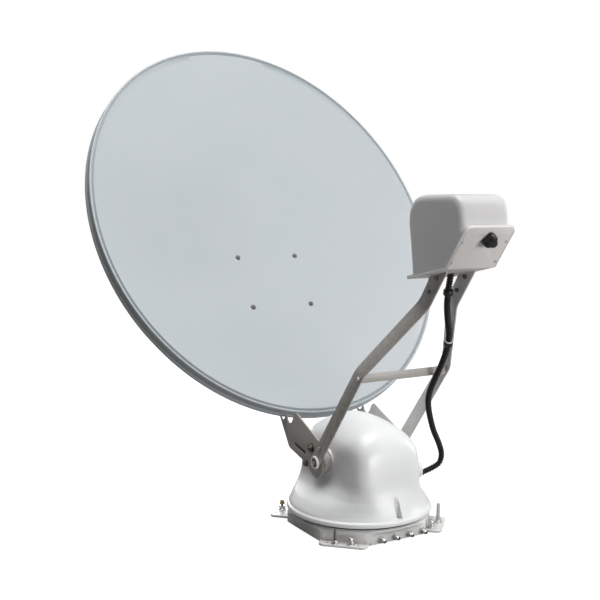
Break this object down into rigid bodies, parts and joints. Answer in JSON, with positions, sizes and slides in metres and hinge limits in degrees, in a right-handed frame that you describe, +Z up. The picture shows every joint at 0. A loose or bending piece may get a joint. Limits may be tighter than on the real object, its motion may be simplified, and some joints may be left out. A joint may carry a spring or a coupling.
{
  "type": "motorised satellite dish antenna",
  "caption": "Offset dish on a motorised mount: an octagonal base, a domed pointing head, side brackets, two feed arms and a boxed feed with a cable conduit.",
  "frame": {"origin": "centre of the base's underside, on the azimuth axis", "axes": "+Z up along the azimuth axis; the dish faces -Y; the elevation axis runs along X"},
  "size_m": [0.8966, 1.0858, 1.0764],
  "materials": {
    "dish_white": "satin white paint on pressed aluminium sheet",
    "gloss_white": "glossy white moulded plastic",
    "base_paint": "light grey paint on pressed steel",
    "frame_paint": "warm grey semi-gloss paint on steel",
    "tray_paint": "light beige-grey paint on bent sheet steel",
    "zinc": "zinc-plated steel",
    "steel": "plain steel",
    "brass": "yellow-passivated or brass, worn",
    "white_nylon": "white nylon",
    "black_plastic": "black moulded plastic",
    "rubber": "black rubber or woven sleeve",
    "board_green": "green circuit board",
    "cast_alloy": "cast aluminium alloy"
  },
  "bodies": {
    "base": {"base_plate": "base_paint", "bottom_cover": "base_paint", "spindle_post": "cast_alloy", "azimuth_gear": "steel", "bearing_outer_ring": "steel", "gap_seal": "rubber", "coax_connector_1": "zinc", "coax_connector_2": "zinc", "coax_connector_3": "zinc", "coax_connector_4": "zinc", "mounting_stud_front_left": "steel", "mounting_bolt_front_left": "zinc", "mounting_stud_front_right": "steel", "mounting_bolt_front_right": "zinc", "mounting_stud_rear_left": "brass", "mounting_stud_rear_right": "brass"},
    "head": {"turntable": "cast_alloy", "bearing_inner_ring": "steel", "dome": "gloss_white", "dome_screw_1": "steel", "dome_screw_2": "steel", "dome_screw_3": "steel", "cable_gland": "white_nylon", "chassis": "steel", "shaft_bearing_left": "steel", "shaft_bearing_right": "steel", "azimuth_motor": "cast_alloy", "elevation_motor": "cast_alloy", "control_board": "board_green"},
    "azimuth_drive_pinion": {"azimuth_pinion": "brass"},
    "elevation_drive_pinion": {"elevation_pinion": "brass"},
    "elevation_frame": {"hub_left": "frame_paint", "hub_right": "frame_paint", "bracket_left": "frame_paint", "bracket_right": "frame_paint", "feed_arm_left": "frame_paint", "feed_arm_right": "frame_paint", "pivot_bolt_left": "zinc", "pivot_bolt_right": "zinc", "pivot_washer_left": "white_nylon", "pivot_washer_right": "white_nylon", "reflector_bolt_1": "zinc", "reflector_bolt_2": "zinc", "reflector_bolt_3": "zinc", "reflector_bolt_4": "zinc", "elevation_shaft": "steel", "elevation_gear": "steel", "cross_rail_lower": "frame_paint", "cross_rail_upper": "frame_paint", "arm_crossbar": "frame_paint", "reflector": "dish_white", "feed_tray": "tray_paint", "feed_cover": "gloss_white", "lnb_clamp": "cast_alloy", "conduit": "rubber", "conduit_clamp_lower": "black_plastic", "conduit_clamp_upper": "black_plastic"},
    "feed": {"lnb": "cast_alloy", "feed_horn": "black_plastic"},
    "knob": {"skew_knob": "black_plastic"}
  },
  "joints": [
    {"name": "azimuth", "type": "hinge", "parent": "base", "child": "head", "pos_m": [0, 0, 0.03], "axis": [0, 0, 1], "range_deg": [-180, 180]},
    {"name": "elevation", "type": "hinge", "parent": "head", "child": "elevation_frame", "pos_m": [0, 0, 0.141], "axis": [1, 0, 0], "range_deg": [-28, 46], "deforming": ["conduit"]},
    {"name": "azimuth_pinion_spin", "type": "hinge", "parent": "head", "child": "azimuth_drive_pinion", "pos_m": [0, -0.0663, 0.03], "axis": [0, 0, 1], "range_deg": [-830, 830]},
    {"name": "elevation_pinion_spin", "type": "hinge", "parent": "head", "child": "elevation_drive_pinion", "pos_m": [0, 0.0523, 0.141], "axis": [1, 0, 0], "range_deg": [-160, 100]},
    {"name": "lnb_skew", "type": "hinge", "parent": "elevation_frame", "child": "feed", "pos_m": [0, -0.35, 0.597], "axis": [0, 1, 0], "range_deg": [-45, 45]},
    {"name": "knob_turn", "type": "hinge", "parent": "elevation_frame", "child": "knob", "pos_m": [0.0025, -0.38647, 0.6125], "axis": [0, -0.8047, -0.5936], "range_deg": [-180, 180]}
  ],
  "couplings": [
    {"joint": "azimuth_pinion_spin", "follows": "azimuth", "ratio": 4.5},
    {"joint": "elevation_pinion_spin", "follows": "elevation", "ratio": -3.3333}
  ]
}
